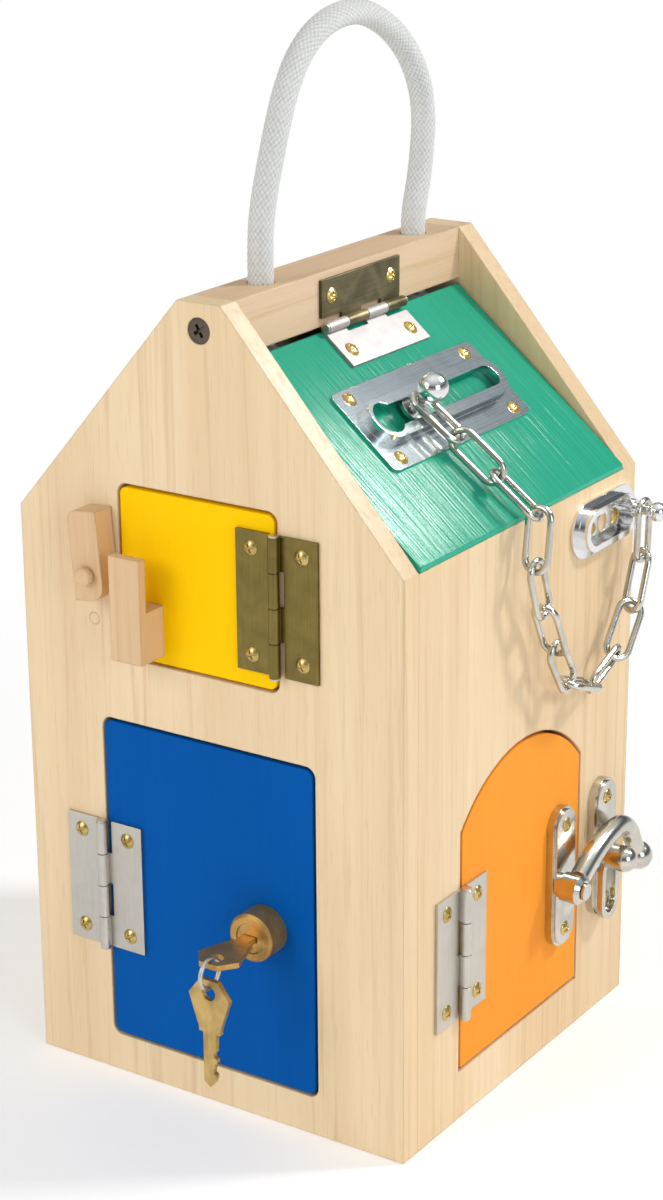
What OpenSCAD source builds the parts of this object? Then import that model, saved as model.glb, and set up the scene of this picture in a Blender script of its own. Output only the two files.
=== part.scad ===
// Wooden lock house: a small carrying house whose four doors each have their own fastening.
// Millimetres. The front faces -Y, the arched door faces +X, and +Z is up.
// The origin is the centre of the footprint, on the surface that the house stands on.

/* [House] */
// Width across the front
house_w = 160; // [150:1:180]
// Depth from front to back
house_d = 160; // [156:1:180]
// Height of the side walls
eave_h = 214.5; // [210:0.5:235]
// Thickness of every wooden panel
panel_t = 9; // [7:0.5:10]
// Slope of the two roof panels, in degrees
roof_slope = 40; // [36:1:42]
// Height of the roof panel's blunt lower edge
roof_lip = 2; // [1:0.5:3]
// Width of the ridge beam
beam_w = 17.6; // [16:0.2:22]
// Height of the ridge beam
beam_h = 19; // [18:0.5:26]
// Gap between the ridge beam and the roof panels
beam_gap = 1.7; // [1:0.1:3]
// Height of the shelf between the two rooms
shelf_z = 148; // [144:0.5:154]

/* [Doors] */
// Gap round every door
door_gap = 1.3; // [1.2:0.1:1.6]
// Corner radius of the two front doors
corner_r = 4; // [2:0.5:8]
// Width of the yellow door's opening
yellow_w = 67; // [60:0.5:72]
// Height of the yellow door's opening
yellow_h = 64.5; // [60:0.5:66]
// Middle of the yellow door, from the house's middle
yellow_x = -3; // [-6:0.5:3]
// Bottom of the yellow door's opening
yellow_z = 165; // [164:0.5:170]
// Width of the blue door's opening
blue_w = 91.4; // [84:0.2:96]
// Height of the blue door's opening
blue_h = 126.6; // [120:0.2:128]
// Middle of the blue door, from the house's middle
blue_x = -1.1; // [-4:0.1:2]
// Bottom of the blue door's opening
blue_z = 14.6; // [12:0.2:16]
// Width of the orange door's opening
orange_w = 86.6; // [80:0.2:90]
// Height of the orange door's opening, to the crown of its arch
orange_h = 113.8; // [108:0.2:118]
// Bottom of the orange door's opening
orange_z = 18.8; // [16:0.2:22]
// Radius of the orange door's arch
arch_r = 56; // [50:1:70]

/* [Hinges] */
// Length of every hinge
hinge_l = 50; // [44:1:56]
// Reach of a leaf, from the pin's axis to its far edge
leaf_reach = 16.5; // [15:0.5:18]
// Thickness of a leaf
leaf_t = 1.2; // [0.8:0.1:1.6]
// Radius of the knuckles
barrel_r = 2; // [1.9:0.1:2.2]
// Radius of the hinge pins
pin_r = 1.2; // [1:0.1:1.5]
// Radial clearance of every turning fit
turn_fit = 0.05; // [0.03:0.01:0.1]
// Middle height of the yellow door's hinge
yellow_hinge_z = 197; // [192:0.5:202]
// Middle height of the blue door's hinge
blue_hinge_z = 76; // [60:0.5:90]
// Middle height of the orange door's hinge
orange_hinge_z = 66.5; // [56:0.5:76]
// Middle of the roof hinge, along the ridge
roof_hinge_y = 3; // [-10:0.5:10]

/* [Screws] */
// Radius of a screw's head
head_r = 2.9; // [2.5:0.1:3.2]
// Height of a screw's head
head_h = 1.3; // [1:0.1:1.6]
// Radius of a screw's shank
shank_r = 1.4; // [1.1:0.1:1.6]
// Length of a screw under its head
screw_l = 8; // [6:0.5:9]
// Distance of a hinge screw from the pin's axis
hinge_screw_x = 10.3; // [9:0.1:11.5]
// Half the distance between a leaf's two screws
hinge_screw_y = 19; // [15:0.5:21]
// Radius of the head of the ridge screws
ridge_screw_r = 4.8; // [4:0.1:5.5]

/* [Wooden latch] */
// Width of the keeper block on the yellow door
keeper_w = 13; // [11:0.5:15]
// Height of the keeper block
keeper_h = 38; // [34:0.5:40]
// Depth of the keeper block
keeper_d = 13.2; // [12:0.1:15]
// Thickness of the cheek in front of the keeper's notch
cheek_t = 3.5; // [3:0.1:4.5]
// Depth of the keeper's notch, from its top
notch_h = 19.5; // [18:0.5:22]
// Distance from the yellow opening's left edge to the keeper
keeper_inset = 5.5; // [4:0.5:8]
// Height of the latch bar
bar_h = 12.5; // [11:0.5:12.5]
// Length of the latch bar on the door's side of its peg
bar_right = 23; // [21:0.5:24]
// Length of the latch bar beyond its peg
bar_left = 9.5; // [8.5:0.5:10]
// Angle of the lifted latch bar, in degrees
bar_up = 95; // [91:1:95]
// Radius of the peg's shank
peg_r = 2.2; // [2:0.1:2.6]
// Radius of the peg's round head
peg_head_r = 3.2; // [3:0.1:4]
// Distance of the peg from the yellow opening's left edge
peg_inset = 7; // [7:0.5:8]
// Height of the peg above the yellow opening's bottom
peg_rise = 32; // [28:0.5:36]
// Depth that the peg reaches into the house front
peg_depth = 5; // [4:0.5:6]

/* [Key lock] */
// Distance of the lock from the blue opening's right edge
lock_inset = 21.6; // [20:0.1:26]
// Height of the lock above the blue opening's bottom
lock_rise = 61.2; // [50:0.2:75]
// Radius of the lock's face
lock_r = 9; // [8.5:0.1:10]
// How far the lock stands out of the door
lock_out = 10; // [7:0.5:12]
// Radius of the lock's barrel in the door
barrel_lock_r = 8; // [7:0.1:8.4]
// Radius of the turning plug
plug_r = 5.6; // [5:0.1:6.2]
// Length of the cam from the lock's axis
cam_l = 30; // [29:0.5:34]
// Width of the cam
cam_w = 12; // [10:0.5:14]
// Thickness of the keys
key_t = 2; // [1.6:0.1:2.4]
// Width of a key's bow
bow_w = 17; // [15:0.5:19]
// Length of a key's bow
bow_l = 18.5; // [16:0.5:20]
// Length of a key's blade
blade_l = 22.5; // [20:0.5:22.5]
// Width of a key's blade
blade_w = 5.4; // [5:0.2:6.4]
// Radius of the hole in a key's bow
key_hole_r = 2.8; // [2.6:0.1:3]
// Middle radius of the key ring
ring_r = 5.4; // [5.2:0.1:6.5]
// Radius of the key ring's wire
ring_wire_r = 0.8; // [0.6:0.1:0.9]

/* [Hook latch] */
// Length of the hook's two plates
plate_l = 56; // [50:1:60]
// Width of the hook's two plates
plate_w = 16; // [14:0.5:18]
// Thickness of the hook's two plates
plate_t = 4; // [3:0.5:5]
// Distance of the door plate's middle from the orange opening's rear edge
hook_plate_inset = 17; // [15:0.5:19]
// Distance of the jamb plate's middle from the orange opening's rear edge
jamb_plate_inset = 14.5; // [13:0.5:16]
// Middle height of the hook's two plates
hook_z = 69; // [62:0.5:76]
// Radius of the hook's bar
hook_bar_r = 4; // [3.5:0.1:4.4]
// Radius of the hook's long arm
hook_arm_r = 58; // [56:1:60]
// Radius of the hook's crook
hook_crook_r = 14.5; // [14:0.5:15]
// Length of the hook's straight tail
hook_tail_l = 13.5; // [12:0.5:16]
// Radius of the ball on the hook's tail
hook_ball_r = 5.6; // [5:0.1:6.2]
// Radius of the horn that the hook closes over
horn_r = 5; // [4.5:0.1:5.5]

/* [Chain] */
// Length of the guard plate, along the ridge
guard_l = 91; // [86:1:96]
// Width of the guard plate, down the slope
guard_w = 35; // [33:0.5:38]
// Middle of the guard plate, down the slope
guard_u = 41.5; // [38:0.5:44]
// Height of the guard's raised track
track_h = 5.5; // [5:0.1:6]
// Thickness of the guard's metal
guard_t = 1.2; // [1:0.1:1.4]
// Place of the knob along the guard's slot
knob_y = -14; // [-18:0.5:-8]
// Radius of the knob's ball
knob_r = 5.5; // [5:0.1:5.8]
// Pitch of the chain
chain_pitch = 19; // [18.8:0.1:19.2]
// Diameter of the chain's wire
chain_wire = 2.5; // [2.3:0.1:2.5]
// Width between a link's two sides
link_gap = 6.2; // [6.2:0.1:6.6]
// Play of each link along the chain
chain_play = 1; // [0.9:0.1:1]

/* [Rope] */
// Diameter of the carrying rope
rope_d = 9; // [8:0.5:10]
// Clearance of the rope in the beam
rope_play = 0.3; // [0.2:0.1:0.5]
// Radius of the knots under the beam
knot_r = 8; // [7:0.5:8.5]

/* [Hidden] */

$fn = 64;
// Overshoot of a cut past a face
cut = 1;
// Clearance between flat parts that slide or close on each other
seat_gap = 0.2;
// Radial clearance of a screw in its hole
screw_fit = 0.05;

wood = [0.92, 0.82, 0.68];
yellow = [1.0, 0.80, 0.05];
blue = [0.02, 0.33, 0.65];
orange = [0.98, 0.60, 0.22];
green = [0.05, 0.58, 0.43];
nickel = [0.76, 0.75, 0.72];
bronze = [0.42, 0.37, 0.22];
chrome = [0.82, 0.83, 0.85];
brass = [0.78, 0.60, 0.25];
dark_steel = [0.25, 0.24, 0.23];
cotton = [0.90, 0.90, 0.88];

// House outline
half_w = house_w / 2;
half_d = house_d / 2;
inner_x = half_w - panel_t;
inner_y = half_d - panel_t;
roof_top_x = beam_w / 2 + 0.5;
function roof_z(x) = eave_h + roof_lip + (half_w - x) * tan(roof_slope);
roof_top_z = roof_z(roof_top_x);
roof_under = panel_t / cos(roof_slope);
beam_z = roof_top_z + beam_gap;
ridge_h = beam_z + beam_h;
roof_side_gap = 1;
gable = [
  [-half_w, 0], [half_w, 0], [half_w, eave_h], [beam_w / 2, ridge_h], [-beam_w / 2, ridge_h], [-half_w, eave_h]
];

// Hinge axes
axis_h = barrel_r + 0.7;
leaf_seat = leaf_t - axis_h;
knuckles = 4;
knuckle_l = hinge_l / knuckles;
knuckle_gap = 0.15;
leaf_slot = 1.1;
leaf_edge = barrel_r + leaf_slot;
// A leaf on the other side counts from the other end, so both leaves of a hinge name the same knuckles
low_knuckles = [0, 2];
high_knuckles = [1, 3];
yellow_hinge_x = yellow_x + yellow_w / 2;
blue_hinge_x = blue_x - blue_w / 2;
orange_hinge_y = -orange_w / 2;
orange_side = orange_h - arch_r + sqrt(arch_r * arch_r - orange_w * orange_w / 4);
roof_axis_x = beam_w / 2 + axis_h;
roof_axis_z = roof_z(roof_axis_x) + axis_h / cos(roof_slope);

// Wooden latch
keeper_x = yellow_x - yellow_w / 2 + keeper_inset;
keeper_z = yellow_z + 4.5;
bar_t = keeper_d - cheek_t;
bar_off = 0.35;
peg_x = yellow_x - yellow_w / 2 - peg_inset;
peg_z = yellow_z + peg_rise;
peg_head_h = 3.5;
plug_d = 6;
plug_x = peg_x - 5;
plug_z = peg_z - 19.5;

// Key lock
lock_x = blue_x + blue_w / 2 - lock_inset;
lock_z = blue_z + lock_rise;
nut_r = 11;
nut_t = 3.4;
nut_gap = 0.1;
cam_t = 2;
cam_gap = 0.3;
cam_screw_l = 3.5;
barrel_end = panel_t + nut_t + 0.6;
key_slot_fit = 0.15;
key_root = 6;
key_hole_in = 4.8;
ring_lift = 0.5;
bow_front = lock_out + key_root + bow_l;
ring_out = bow_front - (key_hole_in - key_hole_r) / 2;
ring_drop = ring_r - ring_wire_r - ring_lift - key_t / 2;
ring_z = lock_z - ring_drop;
spare_z = ring_z - ring_r - (key_hole_r - ring_wire_r - 0.15);

// Hook latch, in the right wall's own plane
hook_plate_y = orange_w / 2 - hook_plate_inset;
jamb_plate_y = orange_w / 2 + jamb_plate_inset;
plate_screw = (plate_l - plate_w) / 2 + 1;
pivot_y = hook_plate_y - 4.5;
pivot_z = hook_z - 1.5;
pivot_r = 2.2;
boss_h = 2;
boss_r = pivot_r + 2.4;
rivet_r = pivot_r + 1;
rivet_h = 1;
lever_gap = 0.3;
lever_out = plate_t + boss_h + lever_gap + hook_bar_r;
arm_heading = 40;
arm_turn = 32;
crook_heading = arm_heading - arm_turn;
crook_turn = 68;
tail_heading = crook_heading - crook_turn;
arm_c = [pivot_y + hook_arm_r * sin(arm_heading), pivot_z - hook_arm_r * cos(arm_heading)];
crook_c = arm_c + (hook_arm_r - hook_crook_r) * [-sin(crook_heading), cos(crook_heading)];
tail_a = crook_c + hook_crook_r * [-sin(tail_heading), cos(tail_heading)];
tail_b = tail_a + hook_tail_l * [cos(tail_heading), sin(tail_heading)];
horn_z = hook_z - 3;
horn_out = 2 * hook_bar_r;

// Chain guard and bracket
guard_r = 3;
track_l = guard_l - 8;
track_w = 17;
slot_w = 9;
slot_end = guard_l / 2 - 12;
wide_r = slot_w / 2 + 2;
guard_screw_y = guard_l / 2 - 7.7;
guard_screw_u = guard_w / 2 - 4;
neck_r = 2;
link_bar = chain_wire / 2;
upper_out = track_h + 0.3 + link_bar;
knob_out = upper_out + link_bar + 0.3 + knob_r;
bracket_y = 54.5;
bracket_z = eave_h - 15.5;
bracket_mid = bracket_y - 1;
bracket_hole_r = 3.6;
bracket_l = 47;
bracket_w = 21;
rim_l = 38;
rim_w = 16;
rim_h = 4.7;
rim_t = 2.4;
bracket_screw = rim_l / 4 - 0.5;
stud_y = 16;
stud_neck_r = 2;
stud_ball_r = 3.6;
link_x = 9.1;

// Chain route: headings of the hanging links, from the eave to the stud, in whole degrees
hang = [-98, -70, -63, -57, -20, 20, 52, 69, 88];
// Roll of each hanging link about its own length, in whole degrees
hang_roll = [90, 180, 270, 365, 460, 560, 672, 786, 900];
upper_turn = 6.5;
link_inner = chain_pitch + chain_play;
link_half = (link_inner + chain_wire) / 2;
link_side = (link_gap + chain_wire) / 2;
stud_point = [bracket_y + stud_y, bracket_z + 1.5];
stud_slack = stud_neck_r + link_bar + 0.2;
link_over = (chain_play + chain_wire) / 2;
hang_end = stud_point + [0, stud_slack - link_over];
function hang_sum(i) = i >= len(hang) ? [0, 0] : [cos(hang[i]), sin(hang[i])] + hang_sum(i + 1);
function hang_point(i) = hang_end - chain_pitch * hang_sum(i);

// Rope route, from the knot under the front hole to the knot under the back hole
rope_route = [
  [0, -44, 275], [0, -44, 296], [0, -44, 307], [0, -43, 318], [0, -40, 329], [0, -36, 340], [0, -32, 350],
  [0, -27, 360], [0, -20, 369], [0, -10, 376], [0, 3, 380], [0, 18, 380], [0, 32, 375], [0, 43, 368],
  [0, 52, 359], [0, 58, 348], [0, 60, 337], [0, 59, 326], [0, 57, 316], [0, 54, 306], [0, 53, 296], [0, 53, 275]
];
rope_sides = 12;
rope_front_y = rope_route[0][1];
rope_back_y = rope_route[len(rope_route) - 1][1];
rope_foot_z = rope_route[0][2];

// Frames: the local z axis points out of the named face
module front_at(x, z, out = 0) {
  translate([x, -half_d - out, z]) rotate([90, 0, 0]) children();
}
module right_at(y, z, out = 0) {
  translate([half_w + out, y, z]) rotate([90, 0, 90]) children();
}
module roof_at(u, y, out = 0) {
  translate([roof_top_x, 0, roof_top_z]) rotate([0, roof_slope, 0]) translate([u, y, out]) children();
}

// Plain shapes
module rounded_block(w, h, t, r) {
  translate([-w / 2 + r, -h / 2, 0]) cube([w - 2 * r, h, t]);
  translate([-w / 2, -h / 2 + r, 0]) cube([w, h - 2 * r, t]);
  for (x = [-1, 1], y = [-1, 1])
    translate([x * (w / 2 - r), y * (h / 2 - r), 0]) cylinder(r = r, h = t);
}
module obround(l, w, t) {
  translate([-(l - w) / 2, -w / 2, 0]) cube([l - w, w, t]);
  for (x = [-1, 1])
    translate([x * (l - w) / 2, 0, 0]) cylinder(r = w / 2, h = t);
}
module arch_block(w, h, r, t) {
  shoulder = h - r + sqrt(r * r - w * w / 4);
  translate([-w / 2, 0, 0]) cube([w, shoulder, t]);
  intersection() {
    translate([-w / 2, shoulder - cut, 0]) cube([w, h - shoulder + cut, t]);
    translate([0, h - r, 0]) cylinder(r = r, h = t, $fn = 180);
  }
}
module gable_board() {
  rotate([90, 0, 0]) linear_extrude(panel_t) polygon(gable);
}

// Screws: z = 0 is the face under the head
module screw() {
  cap_r = (head_r * head_r + head_h * head_h) / (2 * head_h);
  cross_l = head_r * 1.2;
  cross_w = 0.7;
  cross_turn = 20;
  difference() {
    intersection() {
      translate([0, 0, head_h - cap_r]) sphere(r = cap_r);
      cylinder(r = head_r, h = head_h);
    }
    for (a = [0, 90])
      rotate(a + cross_turn) translate([-cross_l / 2, -cross_w / 2, head_h * 0.4])
        cube([cross_l, cross_w, head_h]);
  }
  translate([0, 0, -screw_l]) cylinder(r = shank_r, h = screw_l);
}
module screw_hole() {
  translate([0, 0, -screw_l - seat_gap]) cylinder(r = shank_r + screw_fit, h = screw_l + seat_gap + cut);
}
module at_leaf_screws() {
  for (y = [-1, 1])
    translate([hinge_screw_x, y * hinge_screw_y, leaf_seat]) children();
}

// Hinge frames: the pin's axis lies along the local y axis, and the leaf reaches along the local x axis
module yellow_hinge_at() {
  front_at(yellow_hinge_x, yellow_hinge_z, axis_h) children();
}
module blue_hinge_at() {
  front_at(blue_hinge_x, blue_hinge_z, axis_h) children();
}
module orange_hinge_at() {
  right_at(orange_hinge_y, orange_hinge_z, axis_h) children();
}
module roof_hinge_at() {
  translate([roof_axis_x, roof_hinge_y, roof_axis_z]) children();
}
module beam_leaf_at() {
  roof_hinge_at() rotate([0, -90, 0]) rotate([180, 0, 0]) children();
}
module panel_leaf_at() {
  roof_hinge_at() rotate([0, roof_slope, 0]) children();
}
module other_side() {
  rotate(180) children();
}

// One hinge leaf with the knuckles that are named
module leaf(own) {
  difference() {
    union() {
      translate([leaf_edge, -hinge_l / 2, -axis_h]) cube([leaf_reach - leaf_edge, hinge_l, leaf_t]);
      for (k = own)
        translate([0, -hinge_l / 2 + k * knuckle_l + knuckle_gap, 0]) {
          translate([0, 0, -axis_h]) cube([leaf_edge, knuckle_l - 2 * knuckle_gap, leaf_t]);
          rotate([-90, 0, 0]) cylinder(r = barrel_r, h = knuckle_l - 2 * knuckle_gap);
        }
    }
    translate([0, -hinge_l / 2 - cut, 0]) rotate([-90, 0, 0])
      cylinder(r = pin_r + turn_fit, h = hinge_l + 2 * cut);
    at_leaf_screws() screw_hole();
  }
}
module hinge_pin() {
  pin_l = hinge_l - 2 * knuckle_gap;
  head = 0.7;
  rotate([-90, 0, 0]) {
    translate([0, 0, -pin_l / 2]) cylinder(r = pin_r, h = pin_l);
    for (s = [0, 1])
      mirror([0, 0, s]) translate([0, 0, pin_l / 2]) cylinder(r = barrel_r - 0.2, h = head);
  }
}

// Every screw that the house itself holds
module at_frame_screws() {
  yellow_hinge_at() at_leaf_screws() children();
  blue_hinge_at() other_side() at_leaf_screws() children();
  orange_hinge_at() other_side() at_leaf_screws() children();
  beam_leaf_at() at_leaf_screws() children();
  for (s = [-1, 1]) {
    right_at(jamb_plate_y, hook_z + s * plate_screw, plate_t) children();
    right_at(bracket_mid + s * bracket_screw, bracket_z, guard_t) children();
  }
}
module at_orange_screws() {
  orange_hinge_at() at_leaf_screws() children();
  for (s = [-1, 1])
    right_at(hook_plate_y, hook_z + s * plate_screw, plate_t) children();
}
module at_roof_screws() {
  panel_leaf_at() at_leaf_screws() children();
  for (y = [-1, 1], u = [-1, 1])
    roof_at(guard_u + u * guard_screw_u, y * guard_screw_y, guard_t) children();
}

// House panels
module front_panel() {
  color(wood) difference() {
    translate([0, -inner_y, 0]) gable_board();
    front_at(yellow_x, yellow_z + yellow_h / 2, -panel_t - cut)
      rounded_block(yellow_w, yellow_h, panel_t + 2 * cut, corner_r);
    front_at(blue_x, blue_z + blue_h / 2, -panel_t - cut)
      rounded_block(blue_w, blue_h, panel_t + 2 * cut, corner_r);
    front_at(peg_x, peg_z, -peg_depth - seat_gap)
      cylinder(r = peg_r + screw_fit, h = peg_depth + cut);
    front_at(plug_x, plug_z, -plug_d) cylinder(r = peg_r, h = plug_d + cut);
    at_ridge_screws() ridge_screw_hole();
    at_frame_screws() screw_hole();
  }
}
module back_panel() {
  color(wood) difference() {
    translate([0, half_d, 0]) gable_board();
    at_ridge_screws() ridge_screw_hole();
  }
}
module front_plug() {
  color(wood) front_at(plug_x, plug_z, -plug_d) cylinder(r = peg_r - screw_fit, h = plug_d);
}
module side_board(x) {
  translate([x, -inner_y, 0]) cube([panel_t, 2 * inner_y, eave_h]);
}
module right_wall() {
  color(wood) difference() {
    side_board(inner_x);
    right_at(0, orange_z, -panel_t - cut) arch_block(orange_w, orange_h, arch_r, panel_t + 2 * cut);
    at_frame_screws() screw_hole();
  }
}
module left_wall() {
  color(wood) side_board(-half_w);
}
module floor_panel() {
  color(wood) translate([-inner_x, -inner_y, 0]) cube([2 * inner_x, 2 * inner_y, panel_t]);
}
module mid_shelf() {
  color(wood) translate([-inner_x, -inner_y, shelf_z]) cube([2 * inner_x, 2 * inner_y, panel_t]);
}

// A roof panel's section, cut level where it sits on the wall
module roof_section(rest, top = [[roof_top_x, roof_top_z]]) {
  foot_z = eave_h + rest;
  foot_x = half_w - (foot_z + roof_under - roof_z(half_w)) / tan(roof_slope);
  polygon(concat(top, [
    [half_w, roof_z(half_w)], [half_w, foot_z], [foot_x, foot_z], [roof_top_x, roof_top_z - roof_under]
  ]));
}
// The left panel has a lip that runs up under the beam
module left_roof_panel() {
  lip_x = roof_top_x - (beam_gap - seat_gap) / tan(roof_slope);
  lip_drop = 3;
  lip = [[roof_top_x, roof_top_z - lip_drop], [lip_x, roof_z(lip_x)]];
  color(wood) mirror([1, 0, 0]) translate([0, inner_y, 0]) rotate([90, 0, 0])
    linear_extrude(2 * inner_y) roof_section(0, lip);
}

// Ridge beam, its screws and the rope
module at_ridge_screws() {
  for (s = [0, 1])
    rotate(180 * s) front_at(0, beam_z + beam_h / 2) children();
}
ridge_screw_l = 20;
ridge_cone = 3;
ridge_shank_r = 2;
ridge_sunk = 0.3;
ridge_fit = 0.1;
module ridge_screw_hole() {
  translate([0, 0, -ridge_cone - ridge_sunk])
    cylinder(r1 = ridge_shank_r + ridge_fit, r2 = ridge_screw_r - ridge_sunk + ridge_fit, h = ridge_cone);
  translate([0, 0, -ridge_sunk - screw_fit])
    cylinder(r = ridge_screw_r - ridge_sunk + ridge_fit, h = ridge_sunk + screw_fit + cut);
  translate([0, 0, -ridge_screw_l - seat_gap])
    cylinder(r = ridge_shank_r + screw_fit, h = ridge_screw_l + seat_gap);
}
module ridge_screw() {
  cross_w = 1.2;
  cross_d = 1.6;
  cross_turn = 30;
  difference() {
    translate([0, 0, -ridge_cone - ridge_sunk])
      cylinder(r1 = ridge_shank_r, r2 = ridge_screw_r - ridge_sunk, h = ridge_cone);
    for (a = [0, 90])
      rotate(a + cross_turn) translate([-ridge_screw_r / 2, -cross_w / 2, -cross_d])
        cube([ridge_screw_r, cross_w, cross_d + cut]);
  }
  translate([0, 0, -ridge_screw_l])
    cylinder(r = ridge_shank_r, h = ridge_screw_l - ridge_cone - ridge_sunk + screw_fit);
}
module ridge_screws() {
  color(dark_steel) at_ridge_screws() ridge_screw();
}
module ridge_beam() {
  color(wood) difference() {
    translate([-beam_w / 2, -inner_y, beam_z]) cube([beam_w, 2 * inner_y, beam_h]);
    for (y = [rope_front_y, rope_back_y])
      translate([0, y, beam_z - cut]) cylinder(r = rope_d / 2 + rope_play, h = beam_h + 2 * cut);
    at_ridge_screws() ridge_screw_hole();
    at_frame_screws() screw_hole();
  }
}

// A tube of the rope's thickness along its route
function unit(v) = v / norm(v);
function rope_way(i) =
  let (last = len(rope_route) - 1)
  unit(rope_route[min(i + 1, last)] - rope_route[max(i - 1, 0)]);
function rope_ring(i) = [
  for (s = [0 : rope_sides - 1])
    let (a = 360 * s / rope_sides, side = [1, 0, 0], up = cross(rope_way(i), side))
    rope_route[i] + rope_d / 2 * (cos(a) * side + sin(a) * up)
];
module carry_rope() {
  last = len(rope_route) - 1;
  points = [for (i = [0 : last]) each rope_ring(i)];
  sides = [
    for (i = [0 : last - 1], s = [0 : rope_sides - 1])
      let (a = i * rope_sides + s, b = i * rope_sides + (s + 1) % rope_sides)
      each [[a, b, b + rope_sides], [a, b + rope_sides, a + rope_sides]]
  ];
  ends = [
    [for (s = [0 : rope_sides - 1]) rope_sides - 1 - s],
    [for (s = [0 : rope_sides - 1]) last * rope_sides + s]
  ];
  color(cotton) polyhedron(points = points, faces = concat(sides, ends));
}
module rope_knots() {
  flat = 4;
  color(cotton) for (y = [rope_front_y, rope_back_y])
    translate([0, y, rope_foot_z - knot_r + flat / 4]) intersection() {
      sphere(r = knot_r);
      translate([0, 0, -2 * knot_r + knot_r - flat / 4]) cylinder(r = knot_r + cut, h = 2 * knot_r);
    }
}

// Small blocks that stop the doors from swinging inwards
stop_t = 6;
stop_l = 16;
stop_lap = 5;
stop_w = 13;
stop_end = 14;
blue_stop_end = 20;
yellow_stop_drop = 14;
module door_stops() {
  reach = stop_w / 2 - stop_lap;
  color(wood) {
    front_at(yellow_x - yellow_w / 2 - reach, peg_z - yellow_stop_drop, -panel_t - stop_t) stop_block(1);
    for (z = [blue_z + blue_stop_end, blue_z + blue_h - blue_stop_end])
      front_at(blue_x + blue_w / 2 + reach, z, -panel_t - stop_t) stop_block(-1);
    for (z = [orange_z + stop_end, orange_z + orange_side - stop_end])
      right_at(orange_w / 2 + reach, z, -panel_t - stop_t) stop_block(-1);
  }
}
module stop_block(side) {
  lap = stop_lap + door_gap;
  translate([-stop_w / 2, -stop_l / 2, 0]) cube([stop_w, stop_l, stop_t - seat_gap]);
  translate([side > 0 ? -stop_w / 2 : lap - stop_w / 2, -stop_l / 2, 0]) cube([stop_w - lap, stop_l, stop_t]);
}

// Yellow door and its wooden latch
module yellow_door() {
  color(yellow) difference() {
    front_at(yellow_x, yellow_z + yellow_h / 2, -panel_t)
      rounded_block(yellow_w - 2 * door_gap, yellow_h - 2 * door_gap, panel_t, corner_r - door_gap);
    yellow_hinge_at() other_side() at_leaf_screws() screw_hole();
  }
}
module latch_keeper() {
  color(wood) difference() {
    front_at(keeper_x, keeper_z) cube([keeper_w, keeper_h, keeper_d]);
    front_at(keeper_x - cut, keeper_z + keeper_h - notch_h, -cut)
      cube([keeper_w + 2 * cut, notch_h + cut, bar_t + cut]);
  }
}
module latch_bar() {
  round_r = 6;
  far_r = 4;
  bar_d = bar_t - 2 * bar_off;
  color(wood) front_at(peg_x, peg_z, bar_off) rotate(bar_up) difference() {
    union() {
      translate([-bar_left + round_r, -bar_h / 2, 0])
        cube([bar_left - round_r + bar_right, bar_h - far_r, bar_d]);
      translate([-bar_left, -bar_h / 2 + round_r, 0])
        cube([bar_left + bar_right - far_r, bar_h - round_r, bar_d]);
      translate([-bar_left + round_r, -bar_h / 2 + round_r, 0]) cylinder(r = round_r, h = bar_d);
      translate([bar_right - far_r, bar_h / 2 - far_r, 0]) cylinder(r = far_r, h = bar_d);
    }
    translate([0, 0, -cut]) cylinder(r = peg_r + turn_fit, h = bar_t + 2 * cut);
  }
}
module latch_peg() {
  dome_r = peg_head_r + 1.5;
  color(wood) front_at(peg_x, peg_z) {
    translate([0, 0, -peg_depth]) cylinder(r = peg_r, h = peg_depth + bar_t + cut);
    translate([0, 0, bar_t + seat_gap]) intersection() {
      cylinder(r = peg_head_r, h = peg_head_h);
      translate([0, 0, peg_head_h - dome_r]) sphere(r = dome_r);
    }
  }
}

// Blue door, its lock and its keys
module blue_door() {
  color(blue) difference() {
    front_at(blue_x, blue_z + blue_h / 2, -panel_t)
      rounded_block(blue_w - 2 * door_gap, blue_h - 2 * door_gap, panel_t, corner_r - door_gap);
    front_at(lock_x, lock_z, -panel_t - cut) cylinder(r = barrel_lock_r + 0.1, h = panel_t + 2 * cut);
    blue_hinge_at() at_leaf_screws() screw_hole();
  }
}
module lock_body() {
  rim = 1;
  color(brass) front_at(lock_x, lock_z) difference() {
    union() {
      cylinder(r = lock_r, h = lock_out - rim);
      translate([0, 0, lock_out - rim]) cylinder(r1 = lock_r, r2 = lock_r - rim, h = rim);
      translate([0, 0, -barrel_end]) cylinder(r = barrel_lock_r, h = barrel_end);
    }
    translate([0, 0, -barrel_end - cut]) cylinder(r = plug_r + turn_fit, h = barrel_end + lock_out + 2 * cut);
  }
}
module lock_nut() {
  color(nickel) front_at(lock_x, lock_z, -panel_t - nut_t) difference() {
    cylinder(r = nut_r, h = nut_t, $fn = 6);
    translate([0, 0, -cut]) cylinder(r = barrel_lock_r + nut_gap, h = nut_t + 2 * cut);
  }
}
module lock_plug() {
  tip = barrel_end + cam_gap;
  slot_foot = lock_out - blade_l + key_root - seat_gap;
  color(brass) front_at(lock_x, lock_z) difference() {
    translate([0, 0, -tip]) cylinder(r = plug_r, h = tip + lock_out - 0.4);
    translate([-blade_w / 2 - key_slot_fit, -key_t / 2 - key_slot_fit, slot_foot])
      cube([blade_w + 2 * key_slot_fit, key_t + 2 * key_slot_fit, blade_l + cut]);
    translate([0, 0, -tip - cut]) cylinder(r = shank_r + screw_fit, h = cam_screw_l + seat_gap + cut);
  }
}
module lock_cam() {
  color(nickel) front_at(lock_x, lock_z, -barrel_end - cam_gap - cam_t) difference() {
    union() {
      cylinder(r = cam_w / 2, h = cam_t);
      translate([-cam_w / 2, 0, 0]) cube([cam_w, cam_l, cam_t]);
    }
    translate([0, 0, -cut]) cylinder(r = shank_r + screw_fit, h = cam_t + 2 * cut);
  }
}
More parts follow.
